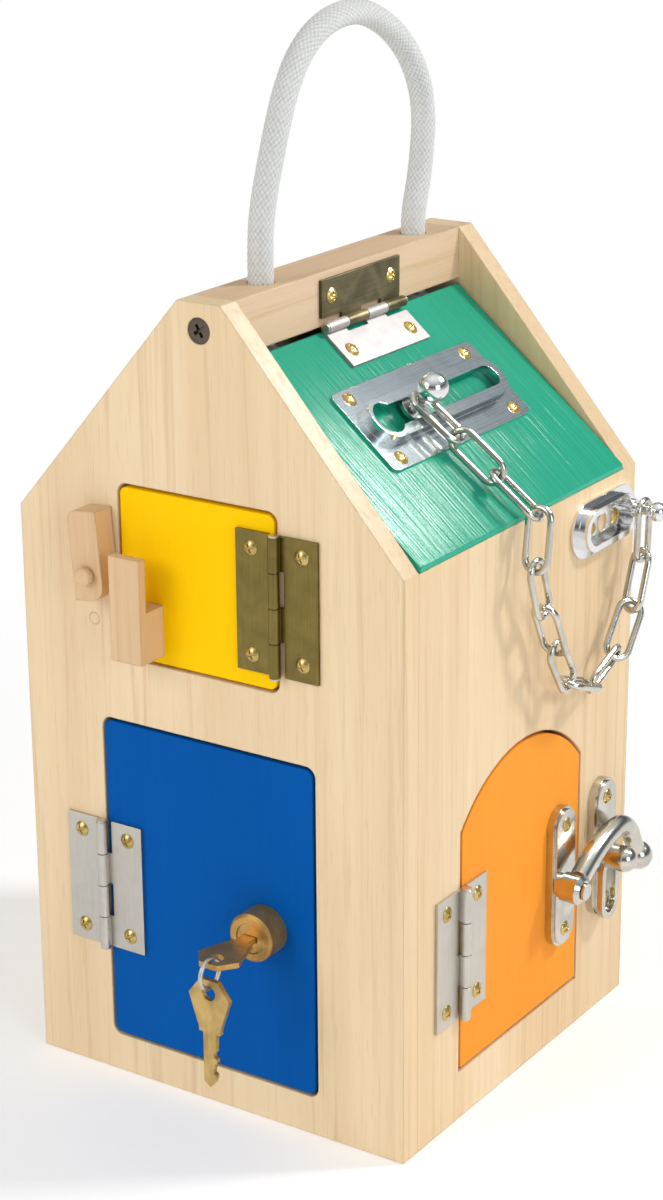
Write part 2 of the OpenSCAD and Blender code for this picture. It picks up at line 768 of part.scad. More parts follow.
module cam_screw() {
  color(nickel) front_at(lock_x, lock_z, -barrel_end - cam_gap - cam_t) rotate([180, 0, 0]) {
    cylinder(r = head_r, h = head_h);
    translate([0, 0, -cam_t - cam_screw_l]) cylinder(r = shank_r, h = cam_t + cam_screw_l);
  }
}

// One key: z = 0 is the middle of its thickness, the bow's far edge is at y = 0 and the blade runs along -y
module key_shape() {
  top = bow_w * 0.22;
  shoulder = bow_w * 0.26;
  collar = 1.5;
  cut_share = 0.5;
  bits = [0.9, 0.55, 1.0, 0.7, 0.5, 0.85];
  bit_l = (blade_l - key_root - 4) / len(bits);
  blade_a = -bow_l - key_root - 1;
  cuts = [for (i = [0 : len(bits) - 1]) each [
    [blade_w / 2 - blade_w * (1 - bits[i]) * cut_share, blade_a - i * bit_l],
    [blade_w / 2 - blade_w * (1 - bits[i]) * cut_share, blade_a - (i + 0.7) * bit_l]
  ]];
  linear_extrude(key_t, center = true) difference() {
    polygon(concat(
      [[top, 0], [bow_w / 2, -bow_l * 0.34], [shoulder, -bow_l], [shoulder, -bow_l - collar],
       [blade_w / 2, -bow_l - collar]],
      cuts,
      [[blade_w / 2 - 1, -bow_l - blade_l + 2], [0, -bow_l - blade_l], [-blade_w / 2, -bow_l - blade_l + 2],
       [-blade_w / 2, -bow_l - collar], [-shoulder, -bow_l - collar], [-shoulder, -bow_l],
       [-bow_w / 2, -bow_l * 0.34], [-top, 0]]
    ));
    translate([0, -key_hole_in]) circle(r = key_hole_r);
  }
}
module lock_key() {
  color(brass) front_at(lock_x, lock_z, bow_front) rotate([90, 0, 0]) key_shape();
}
module key_ring() {
  color(nickel) translate([lock_x, -half_d - ring_out, ring_z]) rotate([0, 90, 0])
    rotate_extrude() translate([ring_r, 0]) circle(r = ring_wire_r, $fn = 24);
}
module spare_key() {
  color(brass) front_at(lock_x, spare_z + key_hole_in, ring_out) key_shape();
}

// Orange door and its hook
module orange_door() {
  color(orange) difference() {
    right_at(0, orange_z + door_gap, -panel_t)
      arch_block(orange_w - 2 * door_gap, orange_h - 2 * door_gap, arch_r - door_gap, panel_t);
    at_orange_screws() screw_hole();
  }
}
module hook_base() {
  edge = 1;
  obround(plate_l, plate_w, plate_t - edge);
  obround(plate_l - 2 * edge, plate_w - 2 * edge, plate_t);
}
module hook_plate() {
  color(chrome) difference() {
    union() {
      right_at(hook_plate_y, hook_z) rotate(90) hook_base();
      right_at(pivot_y, pivot_z, plate_t) {
        rivet_z = boss_h + 2 * lever_gap + 2 * hook_bar_r;
        cylinder(r = boss_r, h = boss_h);
        cylinder(r = pivot_r, h = rivet_z);
        translate([0, 0, rivet_z]) cylinder(r = rivet_r, h = rivet_h);
      }
    }
    at_orange_screws() screw_hole();
  }
}
module hook_lever() {
  eye_r = 5.6;
  arm_r = hook_bar_r - 0.1;
  crook_bar_r = hook_bar_r - 0.3;
  tail_r = hook_bar_r - 0.5;
  lap = 2;
  eye_lap = 5;
  eye_round = 1.6;
  color(chrome) right_at(0, 0, lever_out) {
    difference() {
      translate([pivot_y, pivot_z, -hook_bar_r]) {
        cylinder(r = eye_r, h = 2 * hook_bar_r - eye_round);
        translate([0, 0, 2 * hook_bar_r - eye_round])
          cylinder(r1 = eye_r, r2 = eye_r - eye_round, h = eye_round);
      }
      translate([pivot_y, pivot_z, -hook_bar_r - cut])
        cylinder(r = pivot_r + turn_fit, h = 2 * hook_bar_r + 2 * cut);
    }
    translate(arm_c) rotate(90 + crook_heading) rotate_extrude(angle = arm_turn - eye_lap, $fn = 128)
      translate([hook_arm_r, 0]) circle(r = arm_r, $fn = 48);
    translate(crook_c) rotate(90 + tail_heading) rotate_extrude(angle = crook_turn + lap, $fn = 96)
      translate([hook_crook_r, 0]) circle(r = crook_bar_r, $fn = 48);
    translate(tail_a) rotate(tail_heading) rotate([0, 90, 0])
      translate([0, 0, -lap / 2]) cylinder(r = tail_r, h = hook_tail_l + lap / 2);
    translate(tail_b) sphere(r = hook_ball_r);
  }
}
module jamb_plate() {
  loop_l = plate_l / 2 - 2;
  loop_w = plate_w - 3;
  loop_t = 2.5;
  loop_bar = 2.6;
  color(chrome) difference() {
    union() {
      right_at(jamb_plate_y, hook_z) rotate(90) hook_base();
      right_at(jamb_plate_y, horn_z, plate_t) {
        cylinder(r = horn_r, h = horn_out);
        translate([0, 0, horn_out]) sphere(r = horn_r);
      }
      right_at(jamb_plate_y, horn_z - loop_l / 2, plate_t) rotate(90) difference() {
        obround(loop_l, loop_w, loop_t);
        translate([0, 0, -cut]) obround(loop_l - 2 * loop_bar, loop_w - 2 * loop_bar, loop_t + 2 * cut);
      }
    }
    right_at(jamb_plate_y, hook_z + plate_screw, plate_t) screw_hole();
    right_at(jamb_plate_y, hook_z - plate_screw, plate_t) screw_hole();
  }
}

// Roof door, chain guard and chain
module roof_door() {
  color(green) difference() {
    translate([0, inner_y - roof_side_gap, 0]) rotate([90, 0, 0])
      linear_extrude(2 * (inner_y - roof_side_gap)) roof_section(seat_gap);
    at_roof_screws() screw_hole();
  }
}
module guard_plate() {
  inner = 2 * guard_t;
  color(chrome) difference() {
    union() {
      roof_at(guard_u, 0) rounded_block(guard_w, guard_l, guard_t, guard_r);
      roof_at(guard_u, 0) rotate(90) obround(track_l, track_w, track_h);
    }
    roof_at(guard_u, 0, -cut) rotate(90) obround(track_l - inner, track_w - inner, track_h - guard_t + cut);
    roof_at(guard_u, 0) rotate(90) obround(2 * slot_end + slot_w, slot_w, track_h + cut);
    roof_at(guard_u, -slot_end) cylinder(r = wide_r, h = track_h + cut);
    at_roof_screws() screw_hole();
  }
}
module chain_knob() {
  foot = 1.6;
  foot_out = track_h - guard_t - foot - 0.5;
  color(chrome) roof_at(guard_u, knob_y) {
    translate([0, 0, foot_out]) cylinder(r = wide_r - 2 * seat_gap, h = foot);
    translate([0, 0, foot_out]) cylinder(r = neck_r, h = knob_out - foot_out);
    translate([0, 0, knob_out]) sphere(r = knob_r);
  }
}

// One link: centred, long along x, flat in the local xy plane
module link() {
  straight = 2 * (link_half - link_side);
  for (s = [-1, 1])
    translate([-straight / 2, s * link_side, 0]) rotate([0, 90, 0])
      cylinder(r = link_bar, h = straight, $fn = 24);
  for (s = [0, 1])
    rotate(180 * s) translate([straight / 2, 0, 0]) rotate(-90)
      rotate_extrude(angle = 180, $fn = 48) translate([link_side, 0]) circle(r = link_bar, $fn = 24);
}
module upper_links() {
  first = link_half - neck_r - link_bar - 0.2;
  rolls = [0, 80, -12];
  color(chrome) roof_at(guard_u, knob_y, upper_out) rotate(upper_turn)
    for (i = [0 : 2])
      translate([first + i * chain_pitch, 0, 0]) rotate([rolls[i], 0, 0]) link();
}
module chain_link(i) {
  mid = (hang_point(i) + hang_point(i + 1)) / 2;
  color(chrome) right_at(mid[0], mid[1], link_x) rotate(hang[i]) rotate([hang_roll[i], 0, 0]) link();
}
module chain_bracket() {
  color(chrome) difference() {
    union() {
      right_at(bracket_y, bracket_z) obround(bracket_l, bracket_w, guard_t);
      right_at(bracket_y, bracket_z) difference() {
        obround(rim_l, rim_w, rim_h);
        translate([0, 0, guard_t]) obround(rim_l - 2 * rim_t, rim_w - 2 * rim_t, rim_h);
      }
    }
    right_at(bracket_mid, bracket_z, -cut) cylinder(r = bracket_hole_r, h = guard_t + 2 * cut);
    right_at(stud_point[0], stud_point[1], -cut) cylinder(r = stud_neck_r + screw_fit, h = rim_h + 2 * cut);
    at_frame_screws() screw_hole();
  }
}
module bracket_stud() {
  collar_r = stud_neck_r + 1.4;
  collar_h = 1;
  ball_gap = 2;
  color(chrome) right_at(stud_point[0], stud_point[1]) {
    cylinder(r = stud_neck_r, h = link_x + ball_gap + cut);
    translate([0, 0, rim_h]) cylinder(r = collar_r, h = collar_h);
    translate([0, 0, link_x + ball_gap + stud_ball_r]) sphere(r = stud_ball_r);
  }
}

// Hinge leaves, pins and screws
module yellow_frame_leaf() { color(bronze) yellow_hinge_at() leaf(high_knuckles); }
module yellow_door_leaf() { color(bronze) yellow_hinge_at() other_side() leaf(high_knuckles); }
module blue_frame_leaf() { color(nickel) blue_hinge_at() other_side() leaf(low_knuckles); }
module blue_door_leaf() { color(nickel) blue_hinge_at() leaf(low_knuckles); }
module orange_frame_leaf() { color(nickel) orange_hinge_at() other_side() leaf(low_knuckles); }
module orange_door_leaf() { color(nickel) orange_hinge_at() leaf(low_knuckles); }
module roof_beam_leaf() { color(bronze) beam_leaf_at() leaf(low_knuckles); }
module roof_door_leaf() { color(nickel) panel_leaf_at() leaf(low_knuckles); }
module hinge_pins() {
  color(nickel) {
    yellow_hinge_at() hinge_pin();
    blue_hinge_at() hinge_pin();
    orange_hinge_at() hinge_pin();
    roof_hinge_at() hinge_pin();
  }
}
module frame_screws() { color(brass) at_frame_screws() screw(); }
module yellow_door_screws() { color(brass) yellow_hinge_at() other_side() at_leaf_screws() screw(); }
module blue_door_screws() { color(brass) blue_hinge_at() at_leaf_screws() screw(); }
module orange_door_screws() { color(brass) at_orange_screws() screw(); }
module roof_door_screws() { color(brass) at_roof_screws() screw(); }

front_panel();
back_panel();
right_wall();
left_wall();
floor_panel();
mid_shelf();
left_roof_panel();
ridge_beam();
ridge_screws();
front_plug();
door_stops();
carry_rope();
rope_knots();
yellow_door();
yellow_frame_leaf();
yellow_door_leaf();
yellow_door_screws();
latch_keeper();
latch_bar();
latch_peg();
blue_door();
blue_frame_leaf();
blue_door_leaf();
blue_door_screws();
lock_body();
lock_nut();
lock_plug();
lock_cam();
cam_screw();
lock_key();
key_ring();
spare_key();
orange_door();
orange_frame_leaf();
orange_door_leaf();
orange_door_screws();
hook_plate();
hook_lever();
jamb_plate();
roof_door();
roof_beam_leaf();
roof_door_leaf();
roof_door_screws();
guard_plate();
chain_knob();
chain_bracket();
bracket_stud();
upper_links();
chain_link(0);  // chain_link_4
chain_link(1);  // chain_link_5
chain_link(2);  // chain_link_6
chain_link(3);  // chain_link_7
chain_link(4);  // chain_link_8
chain_link(5);  // chain_link_9
chain_link(6);  // chain_link_10
chain_link(7);  // chain_link_11
chain_link(8);  // chain_link_12
hinge_pins();
frame_screws();
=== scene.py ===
"""Looks of the wooden lock house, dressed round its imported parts."""

import logging
import math
from dataclasses import dataclass, field
from enum import Enum

import bpy
from mathutils import Matrix, Vector


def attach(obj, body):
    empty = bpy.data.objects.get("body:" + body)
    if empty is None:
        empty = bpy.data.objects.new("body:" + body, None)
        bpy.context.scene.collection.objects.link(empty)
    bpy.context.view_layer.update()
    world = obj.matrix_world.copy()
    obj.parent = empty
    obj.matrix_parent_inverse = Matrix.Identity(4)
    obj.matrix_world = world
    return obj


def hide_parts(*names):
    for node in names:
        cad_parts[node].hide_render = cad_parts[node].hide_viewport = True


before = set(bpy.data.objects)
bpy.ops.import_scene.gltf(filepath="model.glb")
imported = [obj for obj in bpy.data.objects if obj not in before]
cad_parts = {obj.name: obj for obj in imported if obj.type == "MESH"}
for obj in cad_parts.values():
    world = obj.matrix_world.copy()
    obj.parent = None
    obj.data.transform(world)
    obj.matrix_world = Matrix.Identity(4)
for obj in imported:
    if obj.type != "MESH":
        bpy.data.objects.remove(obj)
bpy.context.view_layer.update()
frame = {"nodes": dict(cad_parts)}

LOG = logging.getLogger("lock_house")
MM = 0.001
TINY = 1e-9
IMAGE_SIZE = (663, 1200)

Band = tuple[float, float]
Colour = tuple[float, float, float]
Triple = tuple[float, float, float]
Socket = bpy.types.NodeSocket

WHITE: Colour = (1.0, 1.0, 1.0)
WHOLE: Band = (0.0, 1.0)

# Places of the two colours and of the result on a colour mix node
MIX_FIRST = 6
MIX_SECOND = 7
MIX_RESULT = 2


class Grain(Enum):
    """The way that grain or brush marks run: a turn of the pattern, and the axis that it is stretched on."""

    UPRIGHT = ((0.0, 0.0, 0.0), 2)
    ACROSS = ((0.0, 0.0, 0.0), 0)
    DEEP = ((0.0, 0.0, 0.0), 1)
    RIGHT_SLOPE = ((0.0, 40.0, 0.0), 0)
    LEFT_SLOPE = ((0.0, -40.0, 0.0), 0)

    def axis(self) -> int:
        """Number of the pattern's stretched axis, from 0 to 2."""
        return self.value[1]

    def sizes(self, along: float, across: float) -> Triple:
        """Size of a pattern's cell on each axis, in metres.

        Args:
            along: Length of a cell along the grain.
            across: Width of a cell across the grain.

        Returns:
            The three sizes, in the pattern's own axes.
        """
        out = [across, across, across]
        out[self.axis()] = along
        return (out[0], out[1], out[2])

    def turn(self) -> Triple:
        """The pattern's turn about each axis, in radians."""
        x, y, z = self.value[0]
        return (math.radians(x), math.radians(y), math.radians(z))


@dataclass(frozen=True)
class Mottle:
    """One noise pattern: a cell's length and width in metres, its finer layers and how far it is pulled."""

    along: float
    across: float
    detail: float
    warp: float = 0.0


class Shader:
    """One material's node tree, with short ways to add and join its nodes."""

    def __init__(self, name: str) -> None:
        """Makes an empty material with a principled shader.

        Args:
            name: The material's name.
        """
        self.material = bpy.data.materials.new(name)
        self.material.use_nodes = True
        self.tree = self.material.node_tree
        self.bsdf = self.tree.nodes["Principled BSDF"]
        self.place = self.tree.nodes.new("ShaderNodeTexCoord")

    def join(self, out: Socket, into: Socket) -> None:
        """Links one socket to another."""
        self.tree.links.new(out, into)

    def put(self, name: str, value: Socket | Colour | float) -> None:
        """Sets one input of the principled shader.

        Args:
            name: The input's name.
            value: A socket to link, a colour or a number.
        """
        socket = self.bsdf.inputs[name]
        if isinstance(value, Socket):
            self.join(value, socket)
        elif isinstance(value, tuple):
            socket.default_value = (*value, 1.0)
        else:
            socket.default_value = value

    def cells(self, grain: Grain, along: float, across: float) -> Socket:
        """Object coordinates counted in pattern cells.

        Args:
            grain: The way that the pattern runs.
            along: Length of a cell along the grain, in metres.
            across: Width of a cell across the grain, in metres.

        Returns:
            The vector socket.
        """
        mapping = self.tree.nodes.new("ShaderNodeMapping")
        mapping.vector_type = "TEXTURE"
        mapping.inputs["Rotation"].default_value = grain.turn()
        mapping.inputs["Scale"].default_value = grain.sizes(along, across)
        self.join(self.place.outputs["Object"], mapping.inputs["Vector"])
        return mapping.outputs["Vector"]

    def noise(self, grain: Grain, mottle: Mottle) -> Socket:
        """A noise value between 0 and 1.

        Args:
            grain: The way that the pattern runs.
            mottle: The pattern.

        Returns:
            The value's socket.
        """
        node = self.tree.nodes.new("ShaderNodeTexNoise")
        node.inputs["Scale"].default_value = 1.0
        node.inputs["Detail"].default_value = mottle.detail
        node.inputs["Distortion"].default_value = mottle.warp
        self.join(self.cells(grain, mottle.along, mottle.across), node.inputs["Vector"])
        return node.outputs["Fac"]

    def spread(self, value: Socket, band: Band, onto: Band = WHOLE) -> Socket:
        """Stretches a band of a value over a new band, and holds it there.

        Args:
            value: The value's socket.
            band: Start and end of the band.
            onto: New start and new end.

        Returns:
            The new value's socket.
        """
        node = self.tree.nodes.new("ShaderNodeMapRange")
        node.inputs["From Min"].default_value = band[0]
        node.inputs["From Max"].default_value = band[1]
        node.inputs["To Min"].default_value = onto[0]
        node.inputs["To Max"].default_value = onto[1]
        self.join(value, node.inputs["Value"])
        return node.outputs["Result"]

    def maths(self, way: str, a: Socket, b: Socket | float) -> Socket:
        """One sum on two values.

        Args:
            way: Name of the sum, as on a math node.
            a: First value.
            b: Second value, a socket or a number.

        Returns:
            The result's socket.
        """
        node = self.tree.nodes.new("ShaderNodeMath")
        node.operation = way
        self.join(a, node.inputs[0])
        if isinstance(b, Socket):
            self.join(b, node.inputs[1])
        else:
            node.inputs[1].default_value = b
        return node.outputs[0]

    def share(self, value: Socket, part: float) -> Socket:
        """The socket of a part of a value."""
        return self.maths("MULTIPLY", value, part)

    def mix(self, factor: Socket, a: Colour | Socket, b: Colour | Socket) -> Socket:
        """Mixes two colours.

        Args:
            factor: Share of the second colour.
            a: First colour, three numbers or a socket.
            b: Second colour, three numbers or a socket.

        Returns:
            The colour's socket.
        """
        node = self.tree.nodes.new("ShaderNodeMix")
        node.data_type = "RGBA"
        self.join(factor, node.inputs["Factor"])
        for slot, colour in ((MIX_FIRST, a), (MIX_SECOND, b)):
            if isinstance(colour, tuple):
                node.inputs[slot].default_value = (*colour, 1.0)
            else:
                self.join(colour, node.inputs[slot])
        return node.outputs[MIX_RESULT]

    def relief(self, height: Socket, depth: float, edge: float = 0.0) -> None:
        """Raises the surface by a value and softens its edges.

        Args:
            height: The value that raises the surface.
            depth: Height of a full step, in metres.
            edge: Radius of the softened edges, in metres.
        """
        edge_samples = 4
        bump = self.tree.nodes.new("ShaderNodeBump")
        bump.inputs["Strength"].default_value = 1.0
        bump.inputs["Distance"].default_value = depth
        self.join(height, bump.inputs["Height"])
        if edge > 0.0:
            bevel = self.tree.nodes.new("ShaderNodeBevel")
            bevel.samples = edge_samples
            bevel.inputs["Radius"].default_value = edge
            self.join(bevel.outputs["Normal"], bump.inputs["Normal"])
        self.put("Normal", bump.outputs["Normal"])


@dataclass(frozen=True)
class WoodFinish:
    """Pale, satin-lacquered hardwood made of glued strips."""

    name: str
    grain: Grain
    pale: Colour = (0.835, 0.655, 0.420)
    warm: Colour = (0.745, 0.530, 0.300)
    vein: Colour = (0.600, 0.385, 0.195)
    pore: Colour = (0.400, 0.235, 0.110)
    strip: float = 0.041
    roughness: float = 0.46
    strip_share: float = 0.46
    broad: Mottle = Mottle(0.30, 0.022, detail=2.0, warp=0.6)
    streak: Mottle = Mottle(0.22, 0.0060, detail=3.0, warp=0.6)
    streak_share: float = 0.5
    tone_band: Band = (0.66, 1.34)
    line: Mottle = Mottle(0.15, 0.0034, detail=4.0, warp=0.9)
    vein_band: Band = (0.53, 0.78)
    vein_share: float = 0.56
    dot: Mottle = Mottle(0.012, 0.00045, detail=1.0)
    pore_band: Band = (0.60, 0.80)
    pore_share: float = 0.22
    rough_band: Band = (0.2, 0.8)
    smoother: float = 0.05
    rougher: float = 0.10
    gloss: float = 0.25
    line_height: float = 0.5
    depth: float = 0.00012
    edge: float = 0.0009

    def strips(self, shade: Shader) -> Socket:
        """A random value for each glued strip.

        Args:
            shade: The material.

        Returns:
            The value's socket.
        """
        split = shade.tree.nodes.new("ShaderNodeSeparateXYZ")
        shade.join(shade.cells(self.grain, self.strip, self.strip), split.inputs["Vector"])
        first, second = (split.outputs[i] for i in range(3) if i != self.grain.axis())
        band = shade.maths("FLOOR", shade.maths("ADD", first, second), 0.0)
        chance = shade.tree.nodes.new("ShaderNodeTexWhiteNoise")
        chance.noise_dimensions = "1D"
        shade.join(band, chance.inputs["W"])
        return chance.outputs["Value"]

    def material(self) -> bpy.types.Material:
        """Builds the material.

        Returns:
            The material.
        """
        shade = Shader(self.name)
        strips = shade.share(self.strips(shade), self.strip_share)
        streaks = shade.share(shade.noise(self.grain, self.streak), self.streak_share)
        tone = shade.maths("ADD", strips, shade.noise(self.grain, self.broad))
        tone = shade.maths("ADD", tone, streaks)
        body = shade.mix(shade.spread(tone, self.tone_band), self.pale, self.warm)
        lines = shade.noise(self.grain, self.line)
        veins = shade.spread(lines, self.vein_band, (0.0, self.vein_share))
        body = shade.mix(veins, body, self.vein)
        pores = shade.spread(shade.noise(self.grain, self.dot), self.pore_band, (0.0, self.pore_share))
        body = shade.mix(pores, body, self.pore)
        shade.put("Base Color", body)
        rough = (self.roughness - self.smoother, self.roughness + self.rougher)
        shade.put("Roughness", shade.spread(lines, self.rough_band, rough))
        shade.put("Specular IOR Level", self.gloss)
        height = shade.maths("SUBTRACT", shade.share(lines, self.line_height), pores)
        shade.relief(height, self.depth, self.edge)
        return shade.material


@dataclass(frozen=True)
class PaintFinish:
    """Satin paint, brushed or sprayed on wood, with the grain just showing through."""

    name: str
    grain: Grain
    colour: Colour
    deep: Colour
    streak: float
    roughness: float = 0.48
    shine: float = 0.04
    cloud: Mottle = Mottle(0.09, 0.05, detail=3.0)
    cloud_share: float = 0.35
    brush: Mottle = Mottle(0.055, 0.0011, detail=3.0, warp=0.4)
    tone_band: Band = (0.25, 0.82)
    rough_band: Band = (0.25, 0.75)
    smoother: float = 0.06
    rougher: float = 0.10
    least_depth: float = 0.00005
    streak_depth: float = 0.00022
    edge: float = 0.0008

    def material(self) -> bpy.types.Material:
        """Builds the material.

        Returns:
            The material.
        """
        shade = Shader(self.name)
        clouds = shade.noise(self.grain, self.cloud)
        brush = shade.noise(self.grain, self.brush)
        blend = shade.maths("ADD", shade.share(clouds, self.cloud_share), shade.share(brush, self.streak))
        top = self.cloud_share + self.streak
        low, high = self.tone_band
        tone = shade.spread(blend, (low * top, high * top))
        shade.put("Base Color", shade.mix(tone, self.colour, self.deep))
        rough = (self.roughness - self.smoother, self.roughness + self.rougher)
        shade.put("Roughness", shade.spread(brush, self.rough_band, rough))
        shade.put("Specular IOR Level", self.shine)
        shade.relief(brush, self.least_depth + self.streak_depth * self.streak, self.edge)
        return shade.material


@dataclass(frozen=True)
class MetalFinish:
    """Plated, brushed or aged metal."""

    name: str
    colour: Colour
    tint: Colour
    roughness: float
    brushed: float = 0.0
    aged: float = 0.0
    grain: Grain = Grain.UPRIGHT
    metal: float = 1.0
    waves: float = 0.00001
    line: Mottle = Mottle(0.020, 0.00035, detail=2.0)
    cloud: Mottle = Mottle(0.009, 0.009, detail=4.0, warp=0.5)
    tint_band: Band = (0.36, 0.66)
    least_aged: float = 0.12
    rough_band: Band = (0.25, 0.75)
    smoother: float = 0.75
    rougher: float = 1.35
    brush_depth: float = 0.00003
    edge: float = 0.00035

    def material(self) -> bpy.types.Material:
        """Builds the material.

        Returns:
            The material.
        """
        shade = Shader(self.name)
        lines = shade.share(shade.noise(self.grain, self.line), self.brushed)
        clouds = shade.share(shade.noise(self.grain, self.cloud), 1.0 - self.brushed)
        worn = shade.maths("ADD", clouds, lines)
        tinted = shade.spread(worn, self.tint_band, (0.0, max(self.aged, self.least_aged)))
        shade.put("Base Color", shade.mix(tinted, self.colour, self.tint))
        shade.put("Metallic", self.metal)
        rough = (self.roughness * self.smoother, self.roughness * self.rougher)
        shade.put("Roughness", shade.spread(worn, self.rough_band, rough))
        shade.relief(worn, self.waves + self.brush_depth * self.brushed, self.edge)
        return shade.material


@dataclass(frozen=True)
class CottonFinish:
    """Off-white braided cotton with loose fibres."""

    name: str
    colour: Colour = (0.79, 0.79, 0.775)
    # Dark colour for the yarn's own mottle and for the painted shade in the braid's gaps.
    dark_yarn_and_gap_shade: Colour = (0.42, 0.42, 0.405)
    yarn: Mottle = Mottle(0.0014, 0.0006, detail=3.0)
    yarn_share: float = 0.75
    cloud: Mottle = Mottle(0.012, 0.012, detail=2.0)
    cloud_share: float = 0.2
    tone_band: Band = (0.35, 1.45)
    roughness: float = 0.92
    gloss: float = 0.15
    fuzz: float = 0.25
    depth: float = 0.00025

    def material(self) -> bpy.types.Material:
        """Builds the material.

        Returns:
            The material.
        """
        shade = Shader(self.name)
        yarn = shade.noise(Grain.UPRIGHT, self.yarn)
        clouds = shade.noise(Grain.UPRIGHT, self.cloud)
        # Painted shade: the braid's sunk gaps between strands are darkened towards the dark colour; the yarn
        # and cloud mottle is the cotton's own tone.
        sunk = shade.tree.nodes.new("ShaderNodeAttribute")
        sunk.attribute_name = "sunk"
        spots = shade.maths("ADD", shade.share(yarn, self.yarn_share), shade.share(clouds, self.cloud_share))
        yarn_tone_and_gap_shade = shade.maths("ADD", spots, sunk.outputs["Fac"])
        tone = shade.spread(yarn_tone_and_gap_shade, self.tone_band)
        shade.put("Base Color", shade.mix(tone, self.colour, self.dark_yarn_and_gap_shade))
        shade.put("Roughness", self.roughness)
        shade.put("Specular IOR Level", self.gloss)
        shade.put("Sheen Weight", self.fuzz)
        shade.relief(yarn, self.depth)
        return shade.material


Finish = WoodFinish | PaintFinish | MetalFinish | CottonFinish

WOOD_UPRIGHT = WoodFinish("lacquered_wood_upright", Grain.UPRIGHT)
WOOD_DEEP = WoodFinish(
    "lacquered_wood_ridge", Grain.DEEP, pale=(0.760, 0.560, 0.375), warm=(0.690, 0.480, 0.295)
)
WOOD_ACROSS = WoodFinish("lacquered_wood_level", Grain.ACROSS)
WOOD_SLOPE = WoodFinish("lacquered_wood_roof", Grain.LEFT_SLOPE)
WOOD_LATCH = WoodFinish(
    "turned_wood_latch", Grain.UPRIGHT, pale=(0.745, 0.515, 0.300), warm=(0.660, 0.430, 0.230), strip=0.3
)
YELLOW = PaintFinish(
    "yellow_paint", Grain.UPRIGHT, (1.0, 0.610, 0.002), (0.975, 0.560, 0.001), streak=0.10
)
BLUE = PaintFinish(
    "blue_paint", Grain.UPRIGHT, (0.0, 0.096, 0.395), (0.0, 0.080, 0.340), streak=0.16
)
ORANGE = PaintFinish(
    "orange_paint", Grain.UPRIGHT, (0.950, 0.345, 0.040), (0.900, 0.300, 0.030), streak=0.12
)
GREEN = PaintFinish(
    "green_paint", Grain.RIGHT_SLOPE, (0.030, 0.440, 0.280), (0.002, 0.325, 0.185),
    streak=0.85, roughness=0.20, shine=0.19,
)
NICKEL = MetalFinish(
    "satin_nickel", (0.61, 0.585, 0.53), (0.46, 0.43, 0.37),
    roughness=0.34, brushed=0.6, aged=0.5,
)
BRONZE = MetalFinish(
    "antique_bronze", (0.175, 0.130, 0.038), (0.285, 0.220, 0.070),
    roughness=0.33, brushed=0.4, aged=0.8,
)
# Painted shade: this dark olive stands for the shade on the roof hinge's leaf on the ridge beam, not for a
# darker metal.
RIDGE_LEAF_PAINTED_SHADE = MetalFinish(
    "ridge_leaf_painted_shade", (0.085, 0.075, 0.040), (0.190, 0.160, 0.085),
    roughness=0.40, brushed=0.3, aged=0.9, grain=Grain.DEEP,
)
CHROME = MetalFinish(
    "bright_plating", (0.82, 0.82, 0.82), (0.62, 0.63, 0.64),
    roughness=0.11, brushed=0.1, aged=0.35, waves=0.00005,
)
# Painted shade: a darkened copy of the satin nickel, so that the lamps' gleam on the roof door's leaf stays
# grey.
ROOF_NICKEL_PAINTED_SHADE = MetalFinish(
    "satin_nickel_roof_painted_shade", (0.42, 0.39, 0.38), (0.28, 0.26, 0.25),
    roughness=0.50, brushed=0.4, aged=0.8, grain=Grain.RIGHT_SLOPE, metal=0.4,
)
# Partly painted reflection: the blue-grey tint stands for the sky that the plate mirrors; the mottled brush
# marks are the plating's own.
GUARD_PLATING_SKY_TINT = MetalFinish(
    "guard_plating_painted_sky", (0.86, 0.91, 0.92), (0.36, 0.44, 0.47),
    roughness=0.12, brushed=0.55, aged=0.8, grain=Grain.DEEP, waves=0.00004,
)
PLATED = MetalFinish(
    "worn_plating", (0.64, 0.625, 0.565), (0.40, 0.38, 0.32),
    roughness=0.15, brushed=0.1, aged=0.6, waves=0.00005,
)
BRASS = MetalFinish(
    "screw_brass", (0.640, 0.470, 0.170), (0.400, 0.270, 0.085),
    roughness=0.28, brushed=0.2, aged=0.7, metal=0.9,
)
LOCK_BRASS = MetalFinish(
    "aged_lock_brass", (0.620, 0.360, 0.105), (0.300, 0.165, 0.050),
    roughness=0.36, brushed=0.2, aged=0.9, metal=0.72,
)
KEY_BRASS = MetalFinish(
    "worn_key_brass", (0.620, 0.430, 0.155), (0.330, 0.205, 0.070),
    roughness=0.34, brushed=0.2, aged=0.9, metal=0.75,
)
DARK_STEEL = MetalFinish(
    "browned_steel", (0.135, 0.110, 0.085), (0.070, 0.058, 0.046),
    roughness=0.42, aged=0.7,
)
COTTON = CottonFinish("braided_cotton")
FIRST_HANGING = 4
LAST_HANGING = 12
HANGING_LINKS = [f"chain_link_{i}" for i in range(FIRST_HANGING, LAST_HANGING + 1)]


